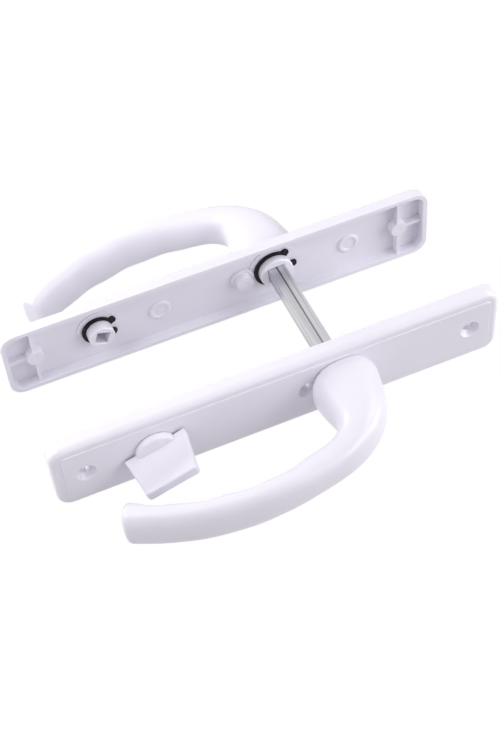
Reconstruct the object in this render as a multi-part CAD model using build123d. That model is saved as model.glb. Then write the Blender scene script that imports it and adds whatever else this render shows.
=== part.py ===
from build123d import *

# Two-sided bathroom door handle: lever handles on long narrow plates, a square spindle,
# a thumb turn inside and a coin-slot release outside.
#
# Row frame, in millimetres: the origin is on the lever axis in the plane of the front plate's
# rim, where the plate meets the door. +Z runs up the plates, +Y from the front plate through
# the door to the back plate, and +X across the plates.
#
# Each side is modelled in its own side frame and then set in place: x across the plate,
# y up the plate, z out of the door, with z = 0 in the plane of the plate's rim.
import math
import os

# Plates
PLATE_LENGTH = 205.0
PLATE_WIDTH = 36.0
PLATE_DEPTH = 7.0
PLATE_CORNER = 6.5
PLATE_EDGE_ROUND = 2.8
PANEL_INSET = 4.4
PANEL_RISE = 0.35
PANEL_BEVEL = 0.28
RIM_WALL = 2.0
FACE_THICKNESS = 2.0
LEVER_AXIS_FROM_TOP = 75.5
AXIS_CENTRES = 85.0
FIXING_FROM_END = 14.0
MIDDLE_FIXING_BELOW_LEVER = 15.6
PLATE_GAP = 61.0

# Fixing holes and the bosses behind them
SCREW_CLEARANCE_R = 2.25
COUNTERSINK_R = 4.5
COUNTERSINK_DEPTH = 2.3
PILOT_R = 1.65
BOSS_R = 3.9
BOSS_BELOW_RIM = 0.4
BOSS_FLANGE_R = 5.5
BOSS_FLANGE_HEIGHT = 1.3
RIB_THICKNESS = 1.7
RIB_BELOW_RIM = 0.9
SPUR_BELOW_RIM = 1.7

# Lever hub, turn hub and their running fits
LEVER_JOURNAL_R = 8.0
TURN_JOURNAL_R = 6.0
RUNNING_CLEARANCE = 0.05
SHOULDER_CLEARANCE = 0.2
COLLAR_HEIGHT = 0.4
COLLAR_WIDTH = 4.2
LEVER_HUB_BELOW_RIM = 0.2
HUB_INTO_NECK = 4.0
TURN_HUB_PROUD_OF_RIM = 1.5
GROOVE_WIDTH = 1.1
CLIP_THICKNESS = 1.0
CLIP_WIDTH_SHARE = 0.13
CLIP_WIDTH_LEAST = 1.25
CLIP_THINNING = 0.85
CLIP_HALF_GAP = 24.0
CLIP_LUG_TURN = 5.0
CLIP_LUG_REACH = 3.4
CLIP_LUG_WIDTH = 3.3
CLIP_LUG_CORNER = 0.8
LEVER_CLIP_GAP = 70.0
TURN_CLIP_GAP = 90.0
LEVER_GROOVE_DEPTH = 0.4
TURN_GROOVE_DEPTH = 0.25

# Square spindle and its sockets
SPINDLE_SIDE = 8.0
SPINDLE_LENGTH = 105.0
SPINDLE_CHAMFER = 0.5
SPINDLE_SEAM_WIDTH = 0.7
SPINDLE_SEAM_DEPTH = 0.35
SOCKET_SIDE = 8.1
LEVER_SOCKET_DEPTH = 32.0
TURN_SOCKET_SIDE = 6.1
TURN_SOCKET_DEPTH = 9.0

# Lever neck: each station is (inner point, outer point, half height), where a point is
# (distance from the lever axis towards the tip, height above the plate's face)
NECK_STATIONS = (
    ((13.0, 0.2), (-13.0, 0.2), 12.2),
    ((14.9, 3.0), (-14.2, 3.0), 13.0),
    ((15.4, 8.5), (-13.9, 9.0), 12.9),
    ((14.2, 15.5), (-11.9, 18.5), 12.2),
    ((12.9, 22.3), (-7.0, 28.5), 11.0),
    ((14.6, 27.3), (2.2, 37.2), 9.9),
    ((20.6, 31.0), (13.6, 43.0), 9.0),
)
# Lever grip: its middle line, half thickness and half height, and the finger scallops
GRIP_LINE = ((29.3, 39.8), (47.2, 42.3), (67.6, 41.1), (88.5, 35.6), (106.6, 26.5))
GRIP_HALF_THICKNESS = (6.6, 5.4, 5.2, 5.3, 6.2)
GRIP_HALF_HEIGHT = (8.9, 9.9, 10.5, 10.6, 10.6)
SCALLOP_DEPTH = 0.8
SCALLOP_COUNT = 4
LEVER_SECTIONS = 40
# Corner radius of every lever section, as a share of its lesser half size
SECTION_ROUNDING = 0.92
# Rounded tip: how far each station lies beyond the grip's end and how far it is drawn in
TIP_STATIONS = ((1.0, 0.3), (1.9, 1.1), (2.5, 2.4))

# Thumb turn and coin-slot release
ROSE_R = 9.2
ROSE_HEIGHT = 3.3
ROSE_BEVEL = 1.2
# Paddle, by height above the plate's face: its thickness at the foot, the waist, the shoulder
# and the top, and its width at the foot and the top
PADDLE_FOOT = (0.9, 6.4)
PADDLE_WAIST = (9.5, 4.4)
PADDLE_SHOULDER = (19.0, 6.0)
PADDLE_TOP = (20.8, 4.6)
PADDLE_FOOT_WIDTH = 28.3
PADDLE_TOP_WIDTH = 23.0
PADDLE_EDGE_BEVEL = 0.6
COIN_SLOT_WIDTH = 2.2
COIN_SLOT_LENGTH = 14.0
COIN_SLOT_DEPTH = 1.9

# How far a shape runs into the one it joins, and past the surface it cuts
OVERLAP = 0.5
CUT_PAST = 1.0

# How the moving pieces stand at rest: turned about the row's +Y axis, in degrees
LEVER_TILT = -4.0
THUMB_TURN_ANGLE = -16.0
RELEASE_ANGLE = 20.0

ON_BASE = (Align.CENTER, Align.CENTER, Align.MIN)
FRONT = Plane(origin=(0, 0, 0), x_dir=(1, 0, 0), z_dir=(0, -1, 0)).location
BACK = Plane(origin=(0, PLATE_GAP, 0), x_dir=(-1, 0, 0), z_dir=(0, 1, 0)).location

PLATE_TOP = LEVER_AXIS_FROM_TOP
PLATE_MIDDLE = PLATE_TOP - PLATE_LENGTH / 2
TOP_FIXING = PLATE_TOP - FIXING_FROM_END
BOTTOM_FIXING = PLATE_TOP - PLATE_LENGTH + FIXING_FROM_END
FIXINGS = (TOP_FIXING, -MIDDLE_FIXING_BELOW_LEVER, BOTTOM_FIXING)
FLOOR = PLATE_DEPTH - FACE_THICKNESS
COLLAR_TOP = FLOOR - COLLAR_HEIGHT
GROOVE_TOP = COLLAR_TOP
GROOVE_BOTTOM = GROOVE_TOP - GROOVE_WIDTH
CLIP_MIDDLE = GROOVE_TOP - GROOVE_WIDTH / 2


def turned(angle, *shapes):
    """The shapes turned about the row's +Y axis through the lever axis."""
    return [Rot(0, angle, 0) * shape for shape in shapes]


def turned_about_turn_axis(angle, shape):
    """A shape turned about the axis of the thumb turn and the release."""
    place = Pos(0, 0, -AXIS_CENTRES)
    return place * Rot(0, angle, 0) * place.inverse() * shape


def disc(radius, low, high, y=0.0):
    """A cylinder along z between two heights."""
    return Pos(0, y, low) * Cylinder(radius, high - low, align=ON_BASE)


def plate_outline(inset=0.0):
    """The plate's rounded oblong, drawn in by an inset."""
    outline = RectangleRounded(PLATE_WIDTH - 2 * inset, PLATE_LENGTH - 2 * inset, PLATE_CORNER - inset)
    return Pos(0, PLATE_MIDDLE) * outline


def plate_shell():
    """The casting's outer form with its rounded edge, raised panel and hollow back."""
    border = PLATE_DEPTH - PANEL_RISE
    shell = extrude(plate_outline(), border)
    shell = fillet(shell.faces().sort_by(Axis.Z)[-1].edges(), PLATE_EDGE_ROUND)
    panel = Pos(0, 0, FLOOR) * extrude(plate_outline(PANEL_INSET), PLATE_DEPTH - FLOOR)
    panel = chamfer(panel.faces().sort_by(Axis.Z)[-1].edges(), PANEL_BEVEL)
    hollow = extrude(plate_outline(RIM_WALL), FLOOR)
    return shell + panel - hollow


def end_web(y, towards_end):
    """The cross rib and the short rib to the end wall, behind an end fixing."""
    inner_width = PLATE_WIDTH - 2 * RIM_WALL + 2 * OVERLAP
    cross = Box(inner_width, RIB_THICKNESS, FLOOR - RIB_BELOW_RIM, align=ON_BASE)
    reach = FIXING_FROM_END - RIM_WALL + OVERLAP
    spur = Box(RIB_THICKNESS, reach, FLOOR - SPUR_BELOW_RIM, align=ON_BASE)
    return Pos(0, y, RIB_BELOW_RIM) * cross + Pos(0, y + towards_end * reach / 2, SPUR_BELOW_RIM) * spur


def plate_inside():
    """Ribs, screw bosses and hub collars inside a plate."""
    ribs = end_web(TOP_FIXING, 1) + end_web(BOTTOM_FIXING, -1)
    bosses = [disc(BOSS_R, BOSS_BELOW_RIM, FLOOR + OVERLAP, y) for y in FIXINGS]
    flange = disc(BOSS_FLANGE_R, FLOOR - BOSS_FLANGE_HEIGHT, FLOOR + OVERLAP, FIXINGS[1])
    lever_collar = disc(LEVER_JOURNAL_R + COLLAR_WIDTH, COLLAR_TOP, FLOOR + OVERLAP)
    turn_collar = disc(TURN_JOURNAL_R + COLLAR_WIDTH, COLLAR_TOP, FLOOR + OVERLAP, -AXIS_CENTRES)
    return ribs + bosses + flange + lever_collar + turn_collar


def hub_bores():
    """The two running bores through a plate."""
    top = PLATE_DEPTH + CUT_PAST
    lever_bore = disc(LEVER_JOURNAL_R + RUNNING_CLEARANCE, -CUT_PAST, top)
    turn_bore = disc(TURN_JOURNAL_R + RUNNING_CLEARANCE, -CUT_PAST, top, -AXIS_CENTRES)
    return lever_bore + turn_bore


def front_plate():
    """The plate with countersunk through holes, on the thumb-turn side."""
    plate = plate_shell() + plate_inside() - hub_bores()
    for y in FIXINGS:
        plate -= disc(SCREW_CLEARANCE_R, -CUT_PAST, PLATE_DEPTH + CUT_PAST, y)
        sink = Cone(SCREW_CLEARANCE_R, COUNTERSINK_R, COUNTERSINK_DEPTH)
        plate -= Pos(0, y, PLATE_DEPTH - COUNTERSINK_DEPTH / 2) * sink
    return plate


def back_plate():
    """The plate with blind pilot holes in its bosses, seen from its hollow side."""
    plate = plate_shell() + plate_inside() - hub_bores()
    for y in FIXINGS:
        plate -= disc(PILOT_R, -CUT_PAST, PLATE_DEPTH - FACE_THICKNESS / 2, y)
    return plate


def lever_section(inner, outer, half_height):
    """A rounded section of the lever between an inner and an outer point of its side view."""
    half_thickness = math.dist(inner, outer) / 2
    middle = ((inner[0] + outer[0]) / 2, (inner[1] + outer[1]) / 2)
    across = ((outer[0] - inner[0]) / (2 * half_thickness), (outer[1] - inner[1]) / (2 * half_thickness))
    x_dir = Vector(1, 0, 0)
    y_dir = Vector(0, -across[0], across[1])
    plane = Plane(origin=(0, -middle[0], PLATE_DEPTH + middle[1]), x_dir=x_dir, z_dir=x_dir.cross(y_dir))
    corner = SECTION_ROUNDING * min(half_thickness, half_height)
    return plane * RectangleRounded(2 * half_height, 2 * half_thickness, corner)


def grip_controls():
    """The grip's stations, square to its middle line."""
    line = Spline(*GRIP_LINE)
    last = len(GRIP_LINE) - 1
    controls = []
    for index, half in enumerate(GRIP_HALF_THICKNESS):
        out = outward(line % (index / last)) * half
        middle = line @ (index / last)
        inner = middle - out
        outer = middle + out
        controls.append(((inner.X, inner.Y), (outer.X, outer.Y), GRIP_HALF_HEIGHT[index]))
    return controls


def lever_stations():
    """Sections run smoothly through the neck and the grip, with the grip's finger scallops."""
    controls = list(NECK_STATIONS) + grip_controls()
    middles = [(Vector(*inner) + Vector(*outer)) / 2 for inner, outer, half_height in controls]
    run = [0.0]
    for before, after in zip(middles, middles[1:]):
        run.append(run[-1] + (after - before).length)
    shares = [distance / run[-1] for distance in run]
    inner_line = Edge.make_spline([Vector(*station[0]) for station in controls], parameters=shares)
    outer_line = Edge.make_spline([Vector(*station[1]) for station in controls], parameters=shares)
    heights = [Vector(share, station[2]) for share, station in zip(shares, controls)]
    height_line = Edge.make_spline(heights, parameters=shares)
    grip_start = shares[len(NECK_STATIONS)]
    stations = []
    for index in range(LEVER_SECTIONS):
        share = index / (LEVER_SECTIONS - 1)
        inner = inner_line @ share
        outer = outer_line @ share
        along_grip = max(share - grip_start, 0) / (1 - grip_start)
        scallop = SCALLOP_DEPTH * math.sin(math.pi * SCALLOP_COUNT * along_grip) ** 2
        inner += (outer - inner).normalized() * scallop
        stations.append(((inner.X, inner.Y), (outer.X, outer.Y), (height_line @ share).Y))
    return stations


def outward(tangent):
    """The direction square to the grip's line, away from the door."""
    along = tangent.normalized()
    return Vector(-along.Y, along.X)


def tip_stations():
    """The shrinking sections that round the grip's end."""
    line = Spline(*GRIP_LINE)
    along = (line % 1).normalized()
    stations = []
    for beyond, drawn_in in TIP_STATIONS:
        middle = line @ 1 + along * beyond
        across = outward(along) * (GRIP_HALF_THICKNESS[-1] - drawn_in)
        inner = middle - across
        outer = middle + across
        stations.append(((inner.X, inner.Y), (outer.X, outer.Y), GRIP_HALF_HEIGHT[-1] - drawn_in))
    return stations


def lever():
    """One lever: hub journal, bulged neck and swept grip, cast in one."""
    stations = lever_stations() + tip_stations()
    body = loft([lever_section(*station) for station in stations], ruled=True)
    body += disc(LEVER_JOURNAL_R, LEVER_HUB_BELOW_RIM, PLATE_DEPTH + HUB_INTO_NECK)
    body -= clip_groove(LEVER_JOURNAL_R, LEVER_GROOVE_DEPTH)
    socket = Box(SOCKET_SIDE, SOCKET_SIDE, LEVER_SOCKET_DEPTH, align=ON_BASE)
    return body - Pos(0, 0, LEVER_HUB_BELOW_RIM) * socket


def clip_groove(journal_r, depth, y=0.0):
    """The ring cut from a journal for its retaining clip."""
    ring = disc(journal_r + CUT_PAST, GROOVE_BOTTOM, GROOVE_TOP, y)
    return ring - disc(journal_r - depth, GROOVE_BOTTOM - CUT_PAST, GROOVE_TOP + CUT_PAST, y)


def retaining_clip(journal_r, groove_depth, gap_direction):
    """A black external clip: a ring that thins towards its two lugs."""
    inner_r = journal_r - groove_depth
    width = CLIP_WIDTH_SHARE * journal_r + CLIP_WIDTH_LEAST
    outer = Pos(-width * (1 - CLIP_THINNING), 0) * Circle(inner_r + width * CLIP_THINNING)
    reach = 2 * journal_r + CLIP_LUG_REACH
    spread = reach * math.tan(math.radians(CLIP_HALF_GAP))
    wedge = Polygon((0, 0), (reach, -spread), (reach, spread), align=None)
    clip = outer - wedge
    for side in (-1, 1):
        place = Rot(0, 0, side * (CLIP_HALF_GAP + CLIP_LUG_TURN))
        lug = Pos(inner_r + CLIP_LUG_REACH / 2, 0) * Rectangle(CLIP_LUG_REACH, CLIP_LUG_WIDTH)
        lug = chamfer(lug.vertices().group_by(Axis.X)[-1], CLIP_LUG_CORNER)
        clip += place * lug
    solid = extrude(clip - Circle(inner_r), CLIP_THICKNESS / 2, both=True)
    return Pos(0, 0, CLIP_MIDDLE) * Rot(0, 0, gap_direction) * solid


def turn_hub():
    """The rose and journal shared by the thumb turn and the release, on the turn axis."""
    low = PLATE_DEPTH + SHOULDER_CLEARANCE
    rose = disc(ROSE_R, low, PLATE_DEPTH + ROSE_HEIGHT)
    rose = chamfer(rose.edges().sort_by(Axis.Z)[-1], ROSE_BEVEL)
    journal = disc(TURN_JOURNAL_R, -TURN_HUB_PROUD_OF_RIM, low + OVERLAP)
    return rose + journal - clip_groove(TURN_JOURNAL_R, TURN_GROOVE_DEPTH)


def turn_socket():
    """The square socket for the turn's own spindle."""
    socket = Box(TURN_SOCKET_SIDE, TURN_SOCKET_SIDE, TURN_SOCKET_DEPTH, align=ON_BASE)
    return Pos(0, 0, -TURN_HUB_PROUD_OF_RIM) * socket


def paddle():
    """The tapered thumb paddle: hollow broad faces, a thicker bevelled end and sloping sides."""
    half = []
    for height, thickness in (PADDLE_FOOT, PADDLE_WAIST, PADDLE_SHOULDER, PADDLE_TOP):
        half.append((thickness / 2, PLATE_DEPTH + height))
    foot, waist, shoulder, top = half
    right = ThreePointArc(foot, waist, shoulder) + Line(shoulder, top)
    left = mirror(right, about=Plane.YZ)
    ends = Line(foot, (-foot[0], foot[1])) + Line(top, (-top[0], top[1]))
    slab = extrude(Plane.XZ * make_face(right + left + ends), PADDLE_FOOT_WIDTH, both=True)
    low, high = PADDLE_FOOT_WIDTH / 2, PADDLE_TOP_WIDTH / 2
    taper = Polygon((-low, foot[1]), (low, foot[1]), (high, top[1]), (-high, top[1]), align=None)
    body = slab & extrude(Plane.YZ * taper, foot[0], both=True)
    sides = body.faces().sort_by(Axis.Y)
    edges = sides[0].edges() + sides[-1].edges()
    return chamfer(edges.filter_by(lambda edge: edge.center().Z > foot[1] + OVERLAP), PADDLE_EDGE_BEVEL)


def thumb_turn():
    """The inside turn: rose, journal and paddle cast in one."""
    return turn_hub() + paddle() - turn_socket()


def coin_release():
    """The outside emergency release: a plain rose with a coin slot."""
    slot = Box(COIN_SLOT_WIDTH, COIN_SLOT_LENGTH, 2 * COIN_SLOT_DEPTH)
    return turn_hub() - turn_socket() - Pos(0, 0, PLATE_DEPTH + ROSE_HEIGHT) * slot


def spindle():
    """The plated square bar with the fine seam along one face."""
    bar = Box(SPINDLE_SIDE, SPINDLE_LENGTH, SPINDLE_SIDE)
    bar = chamfer(bar.faces().filter_by(Axis.Y).edges(), SPINDLE_CHAMFER)
    seam = Box(2 * SPINDLE_SEAM_DEPTH, SPINDLE_LENGTH, SPINDLE_SEAM_WIDTH)
    bar -= Pos(-SPINDLE_SIDE / 2, 0, 0) * seam
    front_end = -(LEVER_SOCKET_DEPTH + LEVER_HUB_BELOW_RIM)
    return Pos(0, front_end + SPINDLE_LENGTH / 2, 0) * bar


def build():
    """Every node of the handle, in the row frame at rest."""
    one_lever = lever()
    lever_clip = retaining_clip(LEVER_JOURNAL_R, LEVER_GROOVE_DEPTH, LEVER_CLIP_GAP)
    turn_clip = retaining_clip(TURN_JOURNAL_R, TURN_GROOVE_DEPTH, TURN_CLIP_GAP)
    at_turn = Pos(0, -AXIS_CENTRES, 0)
    nodes = {
        "front_plate": FRONT * front_plate(),
        "back_plate": BACK * back_plate(),
        "thumb_turn": turned_about_turn_axis(THUMB_TURN_ANGLE, FRONT * at_turn * thumb_turn()),
        "thumb_turn_clip": turned_about_turn_axis(THUMB_TURN_ANGLE, FRONT * at_turn * turn_clip),
        "coin_release": turned_about_turn_axis(RELEASE_ANGLE, BACK * at_turn * coin_release()),
        "coin_release_clip": BACK * at_turn * turn_clip,
    }
    names = ("front_lever", "front_lever_clip", "spindle", "back_lever", "back_lever_clip")
    shapes = (FRONT * one_lever, FRONT * lever_clip, spindle(), BACK * one_lever, BACK * lever_clip)
    nodes.update(zip(names, turned(LEVER_TILT, *shapes)))
    return nodes


os.makedirs("parts", exist_ok=True)
for name, shape in build().items():
    export_step(shape, os.path.join("parts", name + ".step"))
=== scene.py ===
import logging
import math
from dataclasses import dataclass, field
from enum import Enum

import bpy
import numpy as np
from mathutils import Matrix, Vector


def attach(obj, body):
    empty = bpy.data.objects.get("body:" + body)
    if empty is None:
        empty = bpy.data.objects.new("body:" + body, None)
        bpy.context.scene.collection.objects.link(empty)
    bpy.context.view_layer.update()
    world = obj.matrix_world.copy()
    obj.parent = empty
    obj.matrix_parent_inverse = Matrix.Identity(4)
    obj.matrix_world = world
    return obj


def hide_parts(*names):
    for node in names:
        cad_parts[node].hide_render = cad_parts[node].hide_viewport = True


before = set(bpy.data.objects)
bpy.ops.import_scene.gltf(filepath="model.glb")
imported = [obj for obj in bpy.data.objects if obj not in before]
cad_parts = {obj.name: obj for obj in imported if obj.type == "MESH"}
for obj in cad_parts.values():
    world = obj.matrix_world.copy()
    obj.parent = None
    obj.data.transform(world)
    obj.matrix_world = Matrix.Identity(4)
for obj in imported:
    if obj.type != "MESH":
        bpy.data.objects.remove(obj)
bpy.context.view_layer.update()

LOG = logging.getLogger("door_handle")

# The pieces' sizes are in millimetres, and the finishes' and the studio's in metres
MM = 0.001
PLATE_GAP = 61.0
PLATE_DEPTH = 7.0
AXIS_CENTRES = 85.0
# The levers and the spindle stand this far off the plates' line, in degrees about +Y
LEVER_TILT = -4.0
# The clips' grooves, by height above the plane of the rim
GROOVE_LOW = 3.5
GROOVE_HIGH = 4.6

# Points round every ring, and those on half a long side of a rounded bar
AROUND = 64
HALF_SIDE = 8

Pair = tuple[float, float]
Triple = tuple[float, float, float]


class Side(Enum):
    """The two sides of the door."""

    FRONT = "front"
    BACK = "back"

    def to_row(self, points: np.ndarray, tilt: float = 0.0, pivot: float = 0.0) -> np.ndarray:
        """Places side-frame points in the row frame.

        The side frame has x across the plate, y up it and z out of the door from the rim's
        plane. The points are then turned about the +Y axis at the height of the pivot:
        X' = X cos t + Z sin t and Z' = Z cos t - X sin t, with Z taken from the pivot.

        Args:
            points: An array whose last axis holds x, y and z in millimetres.
            tilt: The turn about +Y, in degrees.
            pivot: The height of the turning axis, in millimetres.

        Returns:
            The same array in the row frame, in metres.
        """
        x, y, z = points[..., 0], points[..., 1], points[..., 2]
        if self is Side.FRONT:
            across, through = x, -z
        else:
            across, through = -x, PLATE_GAP + z
        angle = math.radians(tilt)
        up = y - pivot
        turned_x = across * math.cos(angle) + up * math.sin(angle)
        turned_z = up * math.cos(angle) - across * math.sin(angle) + pivot
        return np.stack([turned_x, through, turned_z], axis=-1) * MM


class Slot(Enum):
    """The record's material slots."""

    WHITE = "white_paint"
    STEEL = "plated_steel"
    BLACK = "black_clip"


# Curves and meshes


def cubic(knots: np.ndarray, values: np.ndarray, at: np.ndarray) -> np.ndarray:
    """A natural cubic spline through rows of values.

    The second derivatives m solve the usual three-term rows
    h0 m0 + 2 (h0 + h1) m1 + h1 m2 = 6 (slope1 - slope0), with none at either end. Between
    two knots the value is the straight blend plus the cubic terms in m.

    Args:
        knots: The increasing parameter of each row, shape (K,).
        values: The rows to pass through, shape (K, D).
        at: The parameters to read, shape (M,).

    Returns:
        The spline's values, shape (M, D).
    """
    step = np.diff(knots)
    slope = np.diff(values, axis=0) / step[:, None]
    count = len(knots)
    system = np.eye(count)
    inner = np.arange(1, count - 1)
    system[inner, inner - 1] = step[:-1]
    system[inner, inner] = 2 * (step[:-1] + step[1:])
    system[inner, inner + 1] = step[1:]
    right = np.zeros_like(values)
    right[1:-1] = 6 * np.diff(slope, axis=0)
    second = np.linalg.solve(system, right)
    spot = np.clip(np.searchsorted(knots, at, side="right") - 1, 0, count - 2)
    h = step[spot][:, None]
    b = ((at - knots[spot]) / step[spot])[:, None]
    a = 1 - b
    bend = (a**3 - a) * second[spot] + (b**3 - b) * second[spot + 1]
    return a * values[spot] + b * values[spot + 1] + bend * h**2 / 6


def distance_along(points: np.ndarray) -> np.ndarray:
    """The distance from the first point to each point, summed along the chords."""
    return np.concatenate([[0.0], np.cumsum(np.linalg.norm(np.diff(points, axis=0), axis=1))])


def circle(radius: float, z: float) -> np.ndarray:
    """A level ring of AROUND points: x = r cos t, y = r sin t."""
    angle = np.arange(AROUND) * 2 * np.pi / AROUND
    return np.stack([radius * np.cos(angle), radius * np.sin(angle), np.full(AROUND, z)], axis=-1)


def rectangle(half_x: float, half_y: float, z: float) -> np.ndarray:
    """A level rectangle of AROUND points with a point on each corner.

    The corners take the index that is nearest their share of the outline, and the points
    between them lie evenly on the straight sides.

    Args:
        half_x: Half the size along x.
        half_y: Half the size along y.
        z: The ring's height.

    Returns:
        An array of shape (AROUND, 3), anticlockwise from the middle of the +x side.
    """
    quarter = AROUND // 4
    corner = int(np.clip(round(quarter * half_y / (half_x + half_y)), 1, quarter - 1))
    half = AROUND // 2
    spots = np.array([0, corner, half - corner, half + corner, AROUND - corner, AROUND])
    x = np.array([half_x, half_x, -half_x, -half_x, half_x, half_x])
    y = np.array([0.0, half_y, half_y, -half_y, -half_y, 0.0])
    index = np.arange(AROUND)
    return np.stack([np.interp(index, spots, x), np.interp(index, spots, y), np.full(AROUND, z)], axis=-1)


def rounded_bar(half_x: float, half_y: float, corner: float, hollow: float, z: float) -> np.ndarray:
    """A level rounded rectangle whose two long faces are slightly hollow.

    A quarter of the outline is half a long side and a quarter circle of the corner's radius.
    Four of them make the outline, which is read at AROUND even steps of its point number.
    The hollow then scales x by 1 - (hollow / half_x) (1 - (y / half_y)^2).

    Args:
        half_x: Half the thickness.
        half_y: Half the width.
        corner: The corner's radius.
        hollow: How far the middle of each long face lies in.
        z: The ring's height.

    Returns:
        An array of shape (AROUND, 3).
    """
    turn = np.linspace(0, np.pi / 2, AROUND // 4 - HALF_SIDE)
    middle = np.array([half_x - corner, half_y - corner])
    arc = middle + corner * np.stack([np.cos(turn), np.sin(turn)], axis=-1)
    flat = np.linspace(0, half_y - corner, HALF_SIDE, endpoint=False)
    side = np.stack([np.full(HALF_SIDE, half_x), flat], axis=-1)
    quarter = np.concatenate([side, arc])
    upper = np.concatenate([quarter, quarter[::-1] * (-1, 1)])[:-1]
    closed = np.concatenate([upper, -upper, upper[:1]])
    index = np.arange(len(closed))
    steps = np.linspace(0, index[-1], AROUND, endpoint=False)
    x = np.interp(steps, index, closed[:, 0])
    y = np.interp(steps, index, closed[:, 1])
    x = x * (1 - hollow / half_x * (1 - (y / half_y) ** 2))
    return np.stack([x, y, np.full(AROUND, z)], axis=-1)


def skin(name: str, rings: np.ndarray, crease: float) -> bpy.types.Object:
    """A closed surface over a stack of rings, with a pole at each end.

    Point j of ring i is joined to its neighbours in the order (i, j), (i, j + 1),
    (i + 1, j + 1), (i + 1, j), and the end rings close on their own middles.

    Args:
        name: The object's name.
        rings: An array of shape (R, N, 3), in metres in the row frame.
        crease: The angle in degrees past which an edge stays sharp.

    Returns:
        The new object, linked to the scene.
    """
    count, around, _ = rings.shape
    poles = rings[[0, -1]].mean(axis=1)
    points = np.concatenate([rings.reshape(-1, 3), poles])
    i, j = np.meshgrid(np.arange(count - 1), np.arange(around), indexing="ij")
    after = (j + 1) % around
    near, far = i * around, (i + 1) * around
    quads = np.stack([near + j, near + after, far + after, far + j], axis=-1).reshape(-1, 4)
    j = np.arange(around)
    after = (j + 1) % around
    low, high = count * around, count * around + 1
    last = (count - 1) * around
    start_fan = np.stack([np.full(around, low), after, j], axis=-1)
    end_fan = np.stack([np.full(around, high), last + j, last + after], axis=-1)
    return mesh_object(name, points, [quads, start_fan, end_fan], crease)


def mesh_object(
    name: str, points: np.ndarray, faces: list[np.ndarray], crease: float
) -> bpy.types.Object:
    """An object from arrays of points and faces, smooth but for its sharp edges.

    Args:
        name: The object's name.
        points: The vertices, shape (V, 3), in metres.
        faces: Arrays of vertex indices, one array for each number of corners.
        crease: The angle in degrees past which an edge stays sharp.

    Returns:
        The new object, linked to the scene.
    """
    corners = np.concatenate([block.reshape(-1) for block in faces]).astype(np.int32)
    sizes = np.concatenate([np.full(len(block), block.shape[1]) for block in faces]).astype(np.int32)
    starts = np.concatenate([[0], np.cumsum(sizes)[:-1]]).astype(np.int32)
    mesh = bpy.data.meshes.new(name)
    mesh.vertices.add(len(points))
    mesh.vertices.foreach_set("co", points.astype(np.float32).reshape(-1))
    mesh.loops.add(len(corners))
    mesh.loops.foreach_set("vertex_index", corners)
    mesh.polygons.add(len(sizes))
    mesh.polygons.foreach_set("loop_start", starts)
    mesh.polygons.foreach_set("loop_total", sizes)
    mesh.update(calc_edges=True)
    mesh.polygons.foreach_set("use_smooth", np.ones(len(sizes), dtype=bool))
    mesh.set_sharp_from_angle(angle=math.radians(crease))
    mesh.validate()
    piece = bpy.data.objects.new(name, mesh)
    bpy.context.scene.collection.objects.link(piece)
    return piece


# Finishes


@dataclass(frozen=True)
class Grain:
    """A noise pattern: how many features a metre holds along each axis, and how fine it is."""

    scale: Triple
    detail: float
    roughness: float


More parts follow.
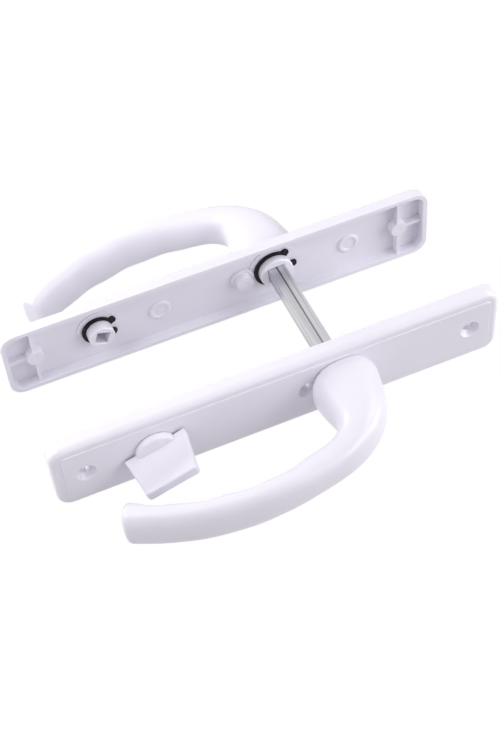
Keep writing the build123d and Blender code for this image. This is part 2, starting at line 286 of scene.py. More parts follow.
class NodeSheet:
    """The node tree of a material or of the world, filled in node by node.

    Noise stays mostly between NOISE_LOW and NOISE_HIGH, so tones and gloss are spread over
    that range.
    """

    NOISE_LOW = 0.3
    NOISE_HIGH = 0.7

    def __init__(self, owner: bpy.types.Material | bpy.types.World) -> None:
        """Starts the owner's node tree empty.

        Args:
            owner: The material or world whose tree it is.
        """
        owner.use_nodes = True
        self.owner = owner
        self.tree = owner.node_tree
        self.tree.nodes.clear()

    def add(self, kind: str, **inputs: object) -> bpy.types.Node:
        """Adds a node and sets its inputs by name.

        Args:
            kind: The node's type name.
            **inputs: Input values, with spaces in a name written as underscores.

        Returns:
            The new node.
        """
        node = self.tree.nodes.new(kind)
        for key, value in inputs.items():
            node.inputs[key.replace("_", " ")].default_value = value
        return node

    def link(self, source: bpy.types.NodeSocket, target: bpy.types.NodeSocket) -> None:
        """Joins two sockets."""
        self.tree.links.new(source, target)

    def noise(self, grain: Grain) -> bpy.types.NodeSocket:
        """Noise on the object's own coordinates.

        Args:
            grain: The pattern.

        Returns:
            The noise's socket, from nought to one.
        """
        place = self.add("ShaderNodeTexCoord")
        mapping = self.add("ShaderNodeMapping", Scale=grain.scale)
        texture = self.add("ShaderNodeTexNoise", Scale=1.0, Detail=grain.detail, Roughness=grain.roughness)
        self.link(place.outputs["Object"], mapping.inputs["Vector"])
        self.link(mapping.outputs["Vector"], texture.inputs["Vector"])
        return texture.outputs["Fac"]

    def map_range(self, value: bpy.types.NodeSocket, source: Pair, target: Pair) -> bpy.types.NodeSocket:
        """The value carried from one range of numbers to another, and held at its ends.

        Args:
            value: The value's socket.
            source: The range that the value comes from.
            target: The range that it is carried to.

        Returns:
            The result's socket.
        """
        (low, high), (first, last) = source, target
        node = self.add("ShaderNodeMapRange", From_Min=low, From_Max=high, To_Min=first, To_Max=last)
        self.link(value, node.inputs["Value"])
        return node.outputs["Result"]

    def gloss(self, noise: bpy.types.NodeSocket, least: float, most: float) -> bpy.types.NodeSocket:
        """A roughness that runs from the least to the most with the noise."""
        return self.map_range(noise, (self.NOISE_LOW, self.NOISE_HIGH), (least, most))

    def colours(self, noise: bpy.types.NodeSocket, low: Triple, high: Triple) -> bpy.types.NodeSocket:
        """A colour that runs from one tone to another with the noise.

        Args:
            noise: The noise's socket.
            low: The tone at NOISE_LOW and below.
            high: The tone at NOISE_HIGH and above.

        Returns:
            The colour's socket.
        """
        node = self.add("ShaderNodeValToRGB")
        stops = zip(node.color_ramp.elements, (self.NOISE_LOW, self.NOISE_HIGH), (low, high))
        for stop, position, tone in stops:
            stop.position = position
            stop.color = (*tone, 1.0)
        self.link(noise, node.inputs["Fac"])
        return node.outputs["Color"]

    def bump(
        self, shader: bpy.types.Node, height: bpy.types.NodeSocket, strength: float, depth: float
    ) -> None:
        """Gives a shader a bump.

        Args:
            shader: The shader's node.
            height: The height's socket, from nought to one.
            strength: The bump's share, from nought to one.
            depth: The depth in metres that a height of one stands for.
        """
        node = self.add("ShaderNodeBump", Strength=strength, Distance=depth)
        self.link(height, node.inputs["Height"])
        self.link(node.outputs["Normal"], shader.inputs["Normal"])

    def math(
        self, operation: str, first: bpy.types.NodeSocket, second: bpy.types.NodeSocket | float = 0.0
    ) -> bpy.types.NodeSocket:
        """A sum on one or two values.

        Args:
            operation: The Math node's operation.
            first: The first value.
            second: The second value, as a socket or a number.

        Returns:
            The result's socket.
        """
        node = self.add("ShaderNodeMath")
        node.operation = operation
        self.link(first, node.inputs[0])
        if isinstance(second, bpy.types.NodeSocket):
            self.link(second, node.inputs[1])
        else:
            node.inputs[1].default_value = second
        return node.outputs[0]

    def background_rays(self) -> bpy.types.NodeSocket:
        """The mask of the rays that see the background as white.

        Returns:
            The mask's socket: one for the camera's rays and for those that reflect or pass
            through, and nought for the rest.
        """
        rays = self.add("ShaderNodeLightPath")
        seen = self.math("MAXIMUM", rays.outputs["Is Camera Ray"], rays.outputs["Is Glossy Ray"])
        return self.math("MAXIMUM", seen, rays.outputs["Is Transmission Ray"])

    def finish(self, shader: bpy.types.Node) -> bpy.types.Material | bpy.types.World:
        """Sends the shader to the output.

        Args:
            shader: The last shader's node.

        Returns:
            The tree's owner.
        """
        in_world = isinstance(self.owner, bpy.types.World)
        output = self.add("ShaderNodeOutputWorld" if in_world else "ShaderNodeOutputMaterial")
        self.link(shader.outputs[0], output.inputs["Surface"])
        return self.owner


@dataclass(frozen=True)
class Enamel:
    """Smooth white coating on a die casting, with a trace of orange peel."""

    name: str = "white_enamel"
    deep: Triple = (0.78, 0.77, 0.837)
    pale: Triple = (0.815, 0.805, 0.87)
    gloss: Pair = (0.30, 0.40)
    cloud: Grain = Grain((22.0, 22.0, 22.0), 3.0, 0.55)
    peel: Grain = Grain((650.0, 650.0, 650.0), 2.0, 0.5)
    peel_depth: float = 0.000012
    peel_strength: float = 0.35
    coat: float = 0.15
    coat_gloss: float = 0.2

    def material(self) -> bpy.types.Material:
        """Builds the enamel: cloudy tone, uneven gloss and a fine bump.

        Returns:
            The node material.
        """
        sheet = NodeSheet(bpy.data.materials.new(self.name))
        shader = sheet.add("ShaderNodeBsdfPrincipled", Coat_Weight=self.coat, Coat_Roughness=self.coat_gloss)
        cloud = sheet.noise(self.cloud)
        sheet.link(sheet.colours(cloud, self.deep, self.pale), shader.inputs["Base Color"])
        sheet.link(sheet.gloss(cloud, *self.gloss), shader.inputs["Roughness"])
        sheet.bump(shader, sheet.noise(self.peel), self.peel_strength, self.peel_depth)
        return sheet.finish(shader)


@dataclass(frozen=True)
class PlatedBar:
    """Bright zinc plate on a drawn steel bar: fine lines along +Y, and painted shade in the groove of its
    one fold.

    The groove lies along the middle of the bar's -X face, where the bar stands at its tilt. Its painted
    shade deepens towards the back plate as a painted shadow.
    """

    name: str = "plated_steel"
    dark: Triple = (0.40, 0.40, 0.425)
    light: Triple = (0.82, 0.82, 0.85)
    # The tone of the painted shade in the groove
    groove_shade_tone: Triple = (0.20, 0.195, 0.21)
    gloss: Pair = (0.32, 0.50)
    band: Grain = Grain((420.0, 3.0, 420.0), 2.0, 0.6)
    line: Grain = Grain((2600.0, 24.0, 2600.0), 2.0, 0.6)
    cloud: Grain = Grain((160.0, 30.0, 160.0), 3.0, 0.5)
    band_share: float = 0.7
    line_depth: float = 0.00002
    line_strength: float = 0.4
    tilt: float = LEVER_TILT
    seam_half: float = 0.00037
    seam_face: float = -0.0034
    # The painted shade's strength along Y: a painted shadow that deepens towards the back plate
    groove_shadow_run: Pair = (0.0, 0.06)
    groove_shadow_strength: Pair = (0.6, 1.0)

    def groove_shade(self, sheet: NodeSheet) -> bpy.types.NodeSocket:
        """The painted shade's strength in the groove, and nought elsewhere, from the coordinates turned back
        upright.

        Args:
            sheet: The node tree to add to.

        Returns:
            The mask's socket: |Z| below the groove's half width, X beyond its face, and a
            strength that grows with Y towards the back plate as a painted shadow.
        """
        place = sheet.add("ShaderNodeTexCoord")
        upright = sheet.add("ShaderNodeMapping", Rotation=(0.0, -math.radians(self.tilt), 0.0))
        sheet.link(place.outputs["Object"], upright.inputs["Vector"])
        axes = sheet.add("ShaderNodeSeparateXYZ")
        sheet.link(upright.outputs["Vector"], axes.inputs["Vector"])
        height = sheet.math("ABSOLUTE", axes.outputs["Z"])
        narrow = sheet.math("LESS_THAN", height, self.seam_half)
        outside = sheet.math("LESS_THAN", axes.outputs["X"], self.seam_face)
        inside = sheet.math("MULTIPLY", narrow, outside)
        # Painted shadow: the groove's painted shade grows towards the back plate
        strength = sheet.map_range(axes.outputs["Y"], self.groove_shadow_run, self.groove_shadow_strength)
        return sheet.math("MULTIPLY", inside, strength)

    def material(self) -> bpy.types.Material:
        """Builds the metal: drawn bands and lines in tone, gloss and bump, and the groove's painted shade.

        Returns:
            The node material.
        """
        sheet = NodeSheet(bpy.data.materials.new(self.name))
        shader = sheet.add("ShaderNodeBsdfPrincipled", Metallic=1.0)
        lines = sheet.noise(self.line)
        bands = sheet.math("MULTIPLY", sheet.noise(self.band), self.band_share)
        drawn = sheet.math("ADD", bands, sheet.math("MULTIPLY", lines, 1 - self.band_share))
        tone = sheet.colours(drawn, self.dark, self.light)
        # Painted shade: the groove's dark tone is mixed into the colour
        mix = sheet.add("ShaderNodeMixRGB", Color2=(*self.groove_shade_tone, 1.0))
        sheet.link(self.groove_shade(sheet), mix.inputs["Fac"])
        sheet.link(tone, mix.inputs["Color1"])
        sheet.link(mix.outputs["Color"], shader.inputs["Base Color"])
        sheet.link(sheet.gloss(sheet.noise(self.cloud), *self.gloss), shader.inputs["Roughness"])
        sheet.bump(shader, lines, self.line_strength, self.line_depth)
        return sheet.finish(shader)


@dataclass(frozen=True)
class Phosphate:
    """Oiled black coating on spring steel."""

    name: str = "black_phosphate"
    dark: Triple = (0.006, 0.005, 0.008)
    light: Triple = (0.016, 0.014, 0.020)
    gloss: Pair = (0.45, 0.62)
    shine: float = 0.18
    crystal: Grain = Grain((1400.0, 1400.0, 1400.0), 3.0, 0.6)
    crystal_depth: float = 0.00001
    crystal_strength: float = 0.5

    def material(self) -> bpy.types.Material:
        """Builds the black coat with a fine grain.

        Returns:
            The node material.
        """
        sheet = NodeSheet(bpy.data.materials.new(self.name))
        shader = sheet.add("ShaderNodeBsdfPrincipled", Specular_IOR_Level=self.shine)
        crystals = sheet.noise(self.crystal)
        sheet.link(sheet.colours(crystals, self.dark, self.light), shader.inputs["Base Color"])
        sheet.link(sheet.gloss(crystals, *self.gloss), shader.inputs["Roughness"])
        sheet.bump(shader, crystals, self.crystal_strength, self.crystal_depth)
        return sheet.finish(shader)


@dataclass(frozen=True)
class Finishes:
    """The materials of the whole handle, made once."""

    enamel: bpy.types.Material
    steel: bpy.types.Material
    black: bpy.types.Material

    def of(self, slot: Slot) -> bpy.types.Material:
        """The material that belongs to a slot."""
        return {Slot.WHITE: self.enamel, Slot.STEEL: self.steel, Slot.BLACK: self.black}[slot]


# Sub-assemblies


@dataclass
class SubAssembly:
    """What every sub-assembly shares: its finishes and the record of its pieces.

    A kept node's loose triangles are joined within WELD millimetres, and its larger faces
    lead its shading by FACE_WEIGHT.
    """

    WELD = 0.01
    FACE_WEIGHT = 100

    finishes: Finishes
    pieces: list[bpy.types.Object] = field(default_factory=list, init=False)

    def dress(self, piece: bpy.types.Object, slot: Slot) -> None:
        """Gives a piece its only material and notes it.

        Args:
            piece: The piece.
            slot: The record's slot for its finish.
        """
        piece.data.materials.clear()
        piece.data.materials.append(self.finishes.of(slot))
        self.pieces.append(piece)

    def new_piece(
        self, piece: bpy.types.Object, body: str, slot: Slot, stands_for: tuple[str, ...] = ()
    ) -> None:
        """Dresses a new piece in its slot's finish, ties it to its body and hides the nodes that it stands
        for.

        Args:
            piece: The finished object, in its place in the row frame.
            body: The body that it moves with.
            slot: The record's slot for its finish.
            stands_for: The nodes that it takes the place of.
        """
        self.dress(piece, slot)
        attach(piece, body)
        if stands_for:
            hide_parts(*stands_for)

    def kept_node(self, name: str, slot: Slot, crease: float = 32.0) -> None:
        """Dresses a node that keeps its own shape, with smooth shading between sharp edges.

        Args:
            name: The node's name.
            slot: The record's slot for its finish.
            crease: The angle in degrees past which an edge stays sharp.
        """
        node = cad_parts[name]
        node.data.polygons.foreach_set("use_smooth", np.ones(len(node.data.polygons), dtype=bool))
        weld = node.modifiers.new("weld", "WELD")
        weld.merge_threshold = self.WELD * MM
        split = node.modifiers.new("sharp_edges", "EDGE_SPLIT")
        split.split_angle = math.radians(crease)
        weights = node.modifiers.new("face_weights", "WEIGHTED_NORMAL")
        weights.weight = self.FACE_WEIGHT
        self.dress(node, slot)


@dataclass(frozen=True)
class Journal:
    """A running journal with a square socket in its end and a groove for its clip.

    Its end lies low above the plane of the rim, or below it where low is negative.
    """

    radius: float
    low: float
    edge: float
    groove_depth: float
    socket_half: float
    socket_depth: float
    mouth: float

    def rings(self, top: float) -> np.ndarray:
        """Rings from the socket's floor, round its bevelled mouth and up the journal.

        Args:
            top: The height at which the journal meets the rest of its casting.

        Returns:
            Rings in the side frame, about the journal's axis.
        """
        half, wide = self.socket_half, self.socket_half + self.mouth
        inside = self.radius - self.groove_depth
        return np.stack([
            rectangle(half, half, self.low + self.socket_depth),
            rectangle(half, half, self.low + self.mouth),
            rectangle(wide, wide, self.low),
            circle(self.radius - self.edge, self.low),
            circle(self.radius, self.low + self.edge),
            circle(self.radius, GROOVE_LOW),
            circle(inside, GROOVE_LOW),
            circle(inside, GROOVE_HIGH),
            circle(self.radius, GROOVE_HIGH),
            circle(self.radius, top),
        ])


@dataclass
class LeverHandle(SubAssembly):
    """One cast lever: socket, journal, bulged neck, scalloped grip and rounded tip.

    A station of the neck is (inner point, outer point, half height), and a point of the side
    view is (distance from the lever axis towards the tip, height above the plate's face).
    """

    side: Side = Side.FRONT
    tilt: float = LEVER_TILT
    journal: Journal = Journal(
        radius=8.0, low=0.2, edge=0.5, groove_depth=0.4, socket_half=4.05, socket_depth=32.0, mouth=0.4
    )
    foot_share: float = 0.97
    power: float = 2.5
    neck: tuple[tuple[Pair, Pair, float], ...] = (
        ((13.0, 0.2), (-13.0, 0.2), 12.2),
        ((14.9, 3.0), (-14.2, 3.0), 13.0),
        ((15.4, 8.5), (-13.9, 9.0), 12.9),
        ((14.2, 15.5), (-11.9, 18.5), 12.2),
        ((12.9, 22.3), (-7.0, 28.5), 11.0),
        ((14.6, 27.3), (2.2, 37.2), 9.9),
        ((20.6, 31.0), (13.6, 43.0), 9.0),
    )
    grip_line: tuple[Pair, ...] = ((29.3, 39.8), (47.2, 42.3), (67.6, 41.1), (88.5, 35.6), (106.6, 26.5))
    grip_half_thickness: tuple[float, ...] = (6.6, 5.4, 5.2, 5.3, 6.2)
    grip_half_height: tuple[float, ...] = (8.9, 9.9, 10.5, 10.6, 10.6)
    tangent_step: float = 0.01
    scallop_depth: float = 0.8
    scallop_count: int = 4
    tip_reach: float = 2.5
    tip_round: float = 2.4
    rings: int = 130
    tip_rings: int = 7
    crease: float = 38.0

    def grip_stations(self) -> np.ndarray:
        """The grip's stations: its middle line plus and minus the half thickness.

        The outward direction at each point is the line's tangent turned a quarter turn, and
        the tangent is the chord between two points a small step to either side.

        Returns:
            Rows of inner a, inner b, outer a, outer b and half height, where a is the
            distance towards the tip and b the height above the plate's face.
        """
        line = np.array(self.grip_line)
        run = distance_along(line)
        ahead = cubic(run, line, np.minimum(run + self.tangent_step, run[-1]))
        behind = cubic(run, line, np.maximum(run - self.tangent_step, 0.0))
        along = ahead - behind
        along /= np.linalg.norm(along, axis=1, keepdims=True)
        out = np.stack([-along[:, 1], along[:, 0]], axis=-1)
        half = np.array(self.grip_half_thickness)[:, None]
        return np.hstack([line - out * half, line + out * half, np.array(self.grip_half_height)[:, None]])

    def path(self) -> np.ndarray:
        """Stations run smoothly from the foot to the grip's end, with the finger scallops.

        All five columns are cubic splines of the distance along the middle line. On the
        grip the inner point moves towards the outer one by
        depth x sin(pi x count x u)^2, with u from 0 to 1 along the grip.

        Returns:
            Rows like those of grip_stations, one for each ring.
        """
        neck = np.array([(*inner, *outer, half) for inner, outer, half in self.neck])
        stations = np.vstack([neck, self.grip_stations()])
        middle = (stations[:, 0:2] + stations[:, 2:4]) / 2
        run = distance_along(middle)
        at = np.linspace(0.0, run[-1], self.rings)
        rows = cubic(run, stations, at)
        start = run[len(neck)]
        u = np.clip((at - start) / (run[-1] - start), 0.0, 1.0)
        dip = self.scallop_depth * np.sin(np.pi * self.scallop_count * u) ** 2
        across = rows[:, 2:4] - rows[:, 0:2]
        across /= np.linalg.norm(across, axis=1, keepdims=True)
        rows[:, 0:2] += across * dip[:, None]
        return rows

    def tip(self, end: np.ndarray) -> np.ndarray:
        """The rounded end: sections move on by reach x sin v and shrink by round x (1 - cos v).

        Args:
            end: The grip's last row.

        Returns:
            Rows beyond the grip's end.
        """
        v = np.linspace(0, np.pi / 2, self.tip_rings + 1)[1:, None]
        inner, outer = end[0:2], end[2:4]
        middle = (inner + outer) / 2
        half = np.linalg.norm(outer - inner) / 2
        across = (outer - inner) / (2 * half)
        along = np.array([across[1], -across[0]])
        shrink = self.tip_round * (1 - np.cos(v))
        centre = middle + along * self.tip_reach * np.sin(v)
        reach = across * (half - shrink)
        return np.hstack([centre - reach, centre + reach, end[4] - shrink])

    def sections(self, rows: np.ndarray) -> np.ndarray:
        """Rounded sections between each row's inner and outer points.

        With power p, a point is half height x |cos t|^(2/p) along x and
        half thickness x |sin t|^(2/p) from the middle towards the outer point, and each term
        has the sign of its cosine or sine.

        Args:
            rows: Rows of inner a, inner b, outer a, outer b and half height.

        Returns:
            Rings in the side frame, shape (R, AROUND, 3).
        """
        angle = np.arange(AROUND) * 2 * np.pi / AROUND
        c, s = np.cos(angle), np.sin(angle)
        wide = np.sign(c) * np.abs(c) ** (2 / self.power)
        deep = np.sign(s) * np.abs(s) ** (2 / self.power)
        middle = (rows[:, 0:2] + rows[:, 2:4]) / 2
        reach = (rows[:, 2:4] - rows[:, 0:2]) / 2
        spot = middle[:, None, :] + reach[:, None, :] * deep[None, :, None]
        x = rows[:, 4:5] * wide[None, :]
        return np.stack([x, -spot[..., 0], PLATE_DEPTH + spot[..., 1]], axis=-1)

    def build(self) -> None:
        """Makes the casting as one closed skin and dresses it and its clip."""
        rows = self.path()
        body = self.sections(np.vstack([rows, self.tip(rows[-1])]))
        foot = body[:1] * (self.foot_share, self.foot_share, 1.0)
        hub = self.journal.rings(PLATE_DEPTH + self.neck[0][0][1])
        side_rings = np.concatenate([hub, foot, body])
        name = self.side.value + "_lever"
        casting = skin(name + "_casting", self.side.to_row(side_rings, self.tilt), self.crease)
        self.new_piece(casting, name, Slot.WHITE, (name,))
        self.kept_node(name + "_clip", Slot.BLACK)


@dataclass
class TurnPiece(SubAssembly):
    """What the thumb turn and the release share: rose, journal and socket on the turn axis."""

    side: Side = Side.FRONT
    tilt: float = 0.0
    rose_r: float = 9.2
    rose_height: float = 3.3
    rose_bevel: float = 1.4
    rose_low: float = 0.2
    rose_edge: float = 0.2
    journal: Journal = Journal(
        radius=6.0, low=-1.5, edge=0.4, groove_depth=0.25, socket_half=3.05, socket_depth=9.0, mouth=0.3
    )
    bevel_rings: int = 5
    crease: float = 40.0

    def hub(self) -> np.ndarray:
        """Rings from the socket's floor round the journal to the rose's bevelled top.

        The bevel is a quarter arc: r = rose_r - bevel (1 - cos v), z rises by bevel x sin v.

        Returns:
            Rings in the side frame, about the turn axis.
        """
        under = PLATE_DEPTH + self.rose_low
        top = PLATE_DEPTH + self.rose_height
        v = np.linspace(0, np.pi / 2, self.bevel_rings)
        radii = self.rose_r - self.rose_bevel * (1 - np.cos(v))
        heights = top - self.rose_bevel * (1 - np.sin(v))
        bevel = [circle(radius, height) for radius, height in zip(radii, heights)]
        low_edge = [circle(self.rose_r - self.rose_edge, under), circle(self.rose_r, under + self.rose_edge)]
        return np.concatenate([self.journal.rings(under), np.stack(low_edge + bevel)])

    def place(self, rings: np.ndarray) -> np.ndarray:
        """Rings about the turn axis, set in the row frame at their angle."""
        return self.side.to_row(rings - (0.0, AXIS_CENTRES, 0.0), self.tilt, -AXIS_CENTRES)


@dataclass
class ThumbTurn(TurnPiece):
    """The inside turn: hub and a tapered paddle with slightly hollow faces.

    A paddle station is (height above the plate's face, thickness, width).
    """

    tilt: float = -16.0
    paddle: tuple[Triple, ...] = (
        (0.9, 6.5, 28.6),
        (5.0, 4.9, 27.4),
        (9.5, 4.2, 26.4),
        (14.5, 4.5, 25.2),
        (19.0, 5.7, 24.2),
        (20.8, 6.1, 24.0),
    )
    foot_corner: float = 0.7
    top_corner: float = 1.7
    least_corner: float = 0.1
    hollow: float = 0.3
    foot_round: float = 0.35
    top_round: float = 1.0
    end_share: float = 1.8
    blade_rings: int = 26
    round_rings: int = 6

    def blade(self) -> np.ndarray:
        """The paddle's rings, rounded at its foot and its top.

        Thickness and width are cubic splines of the height. Near either end the faces draw in
        by round x (1 - sin v) while the height closes in by round x (1 - cos v), and the narrow
        sides draw in by end_share times as much. The corners' radius grows evenly with the
        height, from the foot's to the top's, less what the faces draw in.

        Returns:
            Rings in the side frame, about the turn axis.
        """
        table = np.array(self.paddle)
        low, high = table[0, 0] + self.foot_round, table[-1, 0] - self.top_round
        level = np.linspace(low, high, self.blade_rings)
        v = np.linspace(0, np.pi / 2, self.round_rings, endpoint=False)
        below = low - self.foot_round * np.cos(v)
        above = high + self.top_round * np.cos(v[::-1])
        height = np.concatenate([below, level, above])
        bite = 1 - np.sin(v)
        even = np.zeros(self.blade_rings)
        inset = np.concatenate([self.foot_round * bite, even, self.top_round * bite[::-1]])
        size = cubic(table[:, 0], table[:, 1:], np.clip(height, table[0, 0], table[-1, 0])) / 2
        half_thickness = size[:, 0] - inset
        half_width = size[:, 1] - self.end_share * inset
        corner = np.interp(height, height[[0, -1]], (self.foot_corner, self.top_corner)) - inset
        corner = np.maximum(corner, self.least_corner)
        rows = zip(half_thickness, half_width, corner, PLATE_DEPTH + height)
        return np.stack([rounded_bar(x, y, r, self.hollow, z) for x, y, r, z in rows])

    def build(self) -> None:
        """Makes the hub and the paddle and dresses them and the clip."""
        hub = skin("thumb_turn_hub", self.place(self.hub()), self.crease)
        self.new_piece(hub, "thumb_turn", Slot.WHITE, ("thumb_turn",))
        paddle = skin("thumb_turn_paddle", self.place(self.blade()), self.crease)
        self.new_piece(paddle, "thumb_turn", Slot.WHITE, ("thumb_turn",))
        self.kept_node("thumb_turn_clip", Slot.BLACK)


@dataclass
class CoinRelease(TurnPiece):
    """The outside release: the hub with a coin slot across its face."""

    side: Side = Side.BACK
    tilt: float = 20.0
    slot_width: float = 2.2
    slot_length: float = 14.0
    slot_depth: float = 1.9
    slot_edge: float = 0.25

    def build(self) -> None:
        """Makes the release as one closed skin and dresses it and its clip."""
        top = PLATE_DEPTH + self.rose_height
        half_x, half_y = self.slot_width / 2, self.slot_length / 2
        slot = np.stack([
            rectangle(half_x + self.slot_edge, half_y + self.slot_edge, top),
            rectangle(half_x, half_y, top - self.slot_edge),
            rectangle(half_x, half_y, top - self.slot_depth),
        ])
        rings = np.concatenate([self.hub(), slot])
        release = skin("coin_release_casting", self.place(rings), self.crease)
        self.new_piece(release, "coin_release", Slot.WHITE, ("coin_release",))
        self.kept_node("coin_release_clip", Slot.BLACK)


@dataclass
class Plate(SubAssembly):
    """A long plate, and the two low round pads left by the mould on its inner floor."""

    side: Side = Side.FRONT
    pad_r: float = 5.4
    pad_height: float = 0.9
    pad_rim: float = 2.4
    pad_sunk: float = 0.6
    pad_into: float = 0.2
    pad_steps: int = 7
    pad_places: tuple[Pair, ...] = ((-1.9, 37.4), (-1.9, -55.8))
    floor: float = 5.0
    crease: float = 50.0

    def towards_door(self, profile: list[Pair], x: float, y: float) -> np.ndarray:
        """Rings of a profile of radius and height about (x, y), run the other way as they go down."""
        rings = np.stack([circle(radius, z) for radius, z in profile])
        return rings[:, ::-1] + (x, y, 0.0)

    def pad(self) -> list[Pair]:
        """A pad's profile: a rounded raised rim about a slightly sunk middle.

        Over the rim the height follows half an ellipse, rim / 2 wide to either side, and
        the inner half falls only by the sunk depth.

        Returns:
            Pairs of radius and height in the side frame.
        """
        half = self.pad_rim / 2
        rows = [(self.pad_r, self.floor + self.pad_into)]
        for v in np.linspace(0, math.pi, self.pad_steps):
            fall = self.pad_height if v < math.pi / 2 else self.pad_sunk
            height = self.pad_height - fall * (1 - math.sin(v))
            rows.append((self.pad_r - half + half * math.cos(v), self.floor - height))
        return rows

    def build(self) -> None:
        """Dresses the plate and adds its pads."""
        name = self.side.value + "_plate"
        self.kept_node(name, Slot.WHITE)
        for number, (x, y) in enumerate(self.pad_places):
            rings = self.towards_door(self.pad(), x, y)
            piece = skin(f"{self.side.value}_pad_{number}", self.side.to_row(rings), self.crease)
            self.new_piece(piece, name, Slot.WHITE)


@dataclass
class BackPlate(Plate):
    """The far plate, whose three bosses are skinned over with coating and only dimpled."""

    side: Side = Side.BACK
    boss_top: float = 0.4
    skin_proud: float = 0.01
    skin_r: float = 1.8
    skin_thickness: float = 0.6
    dimple_r: float = 1.5
    dimple_depth: float = 0.14
    dish: tuple[Pair, ...] = ((1.0, 0.0), (0.75, 0.55), (0.45, 0.9), (0.15, 1.0))
    boss_places: tuple[Pair, ...] = ((0.0, 61.5), (0.0, -15.6), (0.0, -115.5))

    def dimple(self) -> list[Pair]:
        """The skin's profile: level with the boss at its edge and dished in the middle.

        The dish is given by shares of the dimple's radius and depth.

        Returns:
            Pairs of radius and height in the side frame.
        """
        low = self.boss_top - self.skin_proud
        rim = [(self.skin_r, low + self.skin_thickness), (self.skin_r, low)]
        return rim + [(self.dimple_r * out, low + self.dimple_depth * down) for out, down in self.dish]

    def build(self) -> None:
        """Adds the bosses' skins to what every plate has."""
        super().build()
        for number, (x, y) in enumerate(self.boss_places):
            rings = self.towards_door(self.dimple(), x, y)
            piece = skin(f"back_boss_skin_{number}", self.side.to_row(rings), self.crease)
            self.new_piece(piece, "back_plate", Slot.WHITE)


@dataclass
class SquareSpindle(SubAssembly):
    """The plated bar that joins the two levers."""

    def build(self) -> None:
        """Dresses the bar."""
        self.kept_node("spindle", Slot.STEEL)


# Studio


@dataclass(frozen=True)
class Lamp:
    """A round soft panel that faces the handle's middle, hidden from the camera.

    The source is the direction that it shines from, and the softness is the angle in
    degrees that it fills as seen from the handle's middle.
    """

    name: str
    level: float
    source: Triple
    softness: float
    distance: float

    def build(self, middle: Triple) -> None:
        """Adds the lamp to the scene.

        A panel at distance d is 2 d tan(softness / 2) across, and level x pi^2 x d^2 watts
        give a white surface there the brightness of the level.

        Args:
            middle: The handle's middle.
        """
        way = Vector(self.source).normalized()
        lamp = bpy.data.lights.new(self.name, "AREA")
        lamp.shape = "DISK"
        lamp.size = 2 * self.distance * math.tan(math.radians(self.softness) / 2)
        lamp.energy = self.level * (math.pi * self.distance) ** 2
        holder = bpy.data.objects.new(self.name, lamp)
        holder.location = Vector(middle) + way * self.distance
        holder.rotation_euler = way.to_track_quat("Z", "Y").to_euler()
        holder.visible_camera = False
        bpy.context.scene.collection.objects.link(holder)


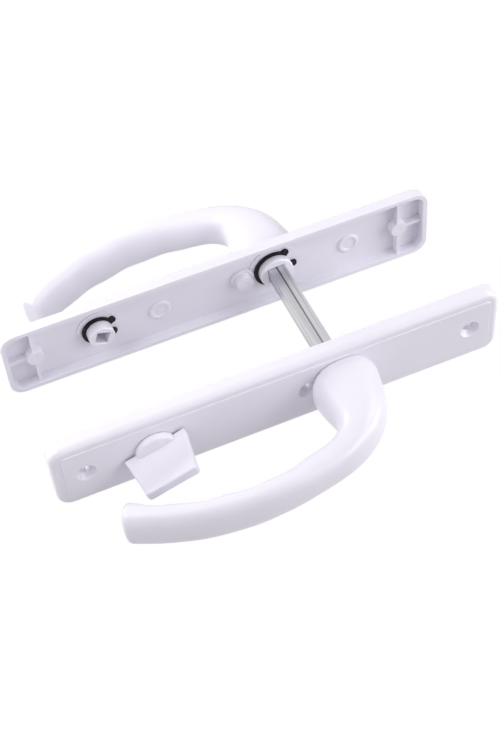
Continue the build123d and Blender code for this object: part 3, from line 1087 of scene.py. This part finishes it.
@dataclass
class Studio:
    """Plain white surroundings, five soft lamps and the camera.

    The camera's right, down, forward and eye are in the row frame, and its focal length is
    in pixels of the photograph.
    """

    ambient: float = 0.455
    ambient_tone: Triple = (1.0, 0.94, 1.02)
    lamps: tuple[Lamp, ...] = (
        Lamp("side", 0.25, (-0.07, -0.34, 0.94), 24.0, 0.9),
        Lamp("top", 0.23, (-0.65, -0.10, 0.75), 30.0, 0.55),
        Lamp("left", 0.37, (-0.70, -0.05, -0.70), 30.0, 0.55),
        Lamp("back", 0.54, (-0.40, 0.70, -0.60), 30.0, 0.55),
        Lamp("front", 0.27, (-0.38, -0.62, 0.63), 30.0, 3.0),
    )
    middle: Triple = (0.0, 0.03, -0.03)
    floor_z: float = -0.8
    floor_r: float = 5.0
    floor_tone: Triple = (0.9, 0.9, 0.9)
    floor_crease: float = 30.0
    floor_fade: Pair = (0.9, 2.8)
    floor_white: Pair = (0.8, 1.0)
    white: tuple[float, float, float, float] = (1.0, 1.0, 1.0, 1.0)
    right: Triple = (0.0649, -0.3896, 0.9187)
    down: Triple = (0.6400, -0.6901, -0.3379)
    forward: Triple = (0.7656, 0.6099, 0.2045)
    eye: Triple = (-0.5006, -0.3847, -0.1673)
    focal_pixels: float = 1520.26
    long_side_pixels: float = 740.0
    sensor: float = 36.0
    nearest: float = 0.01

    def world(self) -> None:
        """White to the rays that see the background, and a plain even level to all others."""
        world = bpy.data.worlds.new("white_room")
        bpy.context.scene.world = world
        sheet = NodeSheet(world)
        even = sheet.add("ShaderNodeBackground", Color=(*self.ambient_tone, 1.0), Strength=self.ambient)
        white = sheet.add("ShaderNodeBackground", Color=self.white, Strength=1.0)
        mix = sheet.add("ShaderNodeMixShader")
        sheet.link(sheet.background_rays(), mix.inputs["Fac"])
        sheet.link(even.outputs[0], mix.inputs[1])
        sheet.link(white.outputs[0], mix.inputs[2])
        sheet.finish(mix)

    def floor(self) -> None:
        """A round pale floor that ends unseen.

        The share of white in it grows with the distance from the handle, up to all of it.
        """
        ring = circle(self.floor_r, self.floor_z)
        points = np.concatenate([ring, [[0.0, 0.0, self.floor_z]]])
        j = np.arange(AROUND)
        fan = np.stack([np.full(AROUND, AROUND), j, (j + 1) % AROUND], axis=-1)
        plane = mesh_object("floor", points, [fan], self.floor_crease)
        sheet = NodeSheet(bpy.data.materials.new("pale_floor"))
        diffuse = sheet.add("ShaderNodeBsdfDiffuse", Color=(*self.floor_tone, 1.0))
        glow = sheet.add("ShaderNodeEmission", Color=self.white, Strength=1.0)
        place = sheet.add("ShaderNodeTexCoord")
        distance = sheet.add("ShaderNodeVectorMath")
        distance.operation = "LENGTH"
        sheet.link(place.outputs["Object"], distance.inputs[0])
        share = sheet.map_range(distance.outputs["Value"], self.floor_fade, self.floor_white)
        mix = sheet.add("ShaderNodeMixShader")
        sheet.link(sheet.math("MULTIPLY", sheet.background_rays(), share), mix.inputs["Fac"])
        sheet.link(diffuse.outputs[0], mix.inputs[1])
        sheet.link(glow.outputs[0], mix.inputs[2])
        plane.data.materials.append(sheet.finish(mix))

    def camera(self) -> None:
        """The camera at the photograph's viewing angle."""
        data = bpy.data.cameras.new("camera")
        data.sensor_width = self.sensor
        data.lens = self.focal_pixels * self.sensor / self.long_side_pixels
        data.clip_start = self.nearest
        holder = bpy.data.objects.new("camera", data)
        up = -Vector(self.down)
        back = -Vector(self.forward)
        turn = Matrix([self.right, up, back]).transposed()
        holder.matrix_world = Matrix.Translation(self.eye) @ turn.to_4x4()
        bpy.context.scene.collection.objects.link(holder)
        bpy.context.scene.camera = holder

    def build(self) -> None:
        """Sets up the surroundings, the lamps, the camera and the view."""
        self.world()
        self.floor()
        for lamp in self.lamps:
            lamp.build(self.middle)
        self.camera()
        bpy.context.scene.view_settings.view_transform = "Standard"


def main() -> None:
    """Builds the studio and every sub-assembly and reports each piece."""
    logging.basicConfig(level=logging.INFO, format="%(name)s: %(message)s")
    Studio().build()
    finishes = Finishes(Enamel().material(), PlatedBar().material(), Phosphate().material())
    parts: list[SubAssembly] = [
        Plate(finishes),
        BackPlate(finishes),
        SquareSpindle(finishes),
        LeverHandle(finishes, side=Side.FRONT),
        LeverHandle(finishes, side=Side.BACK),
        ThumbTurn(finishes),
        CoinRelease(finishes),
    ]
    for part in parts:
        part.build()
        for piece in part.pieces:
            LOG.info("%s: %s, %d faces", type(part).__name__, piece.name, len(piece.data.polygons))


if __name__ == "__main__":
    main()
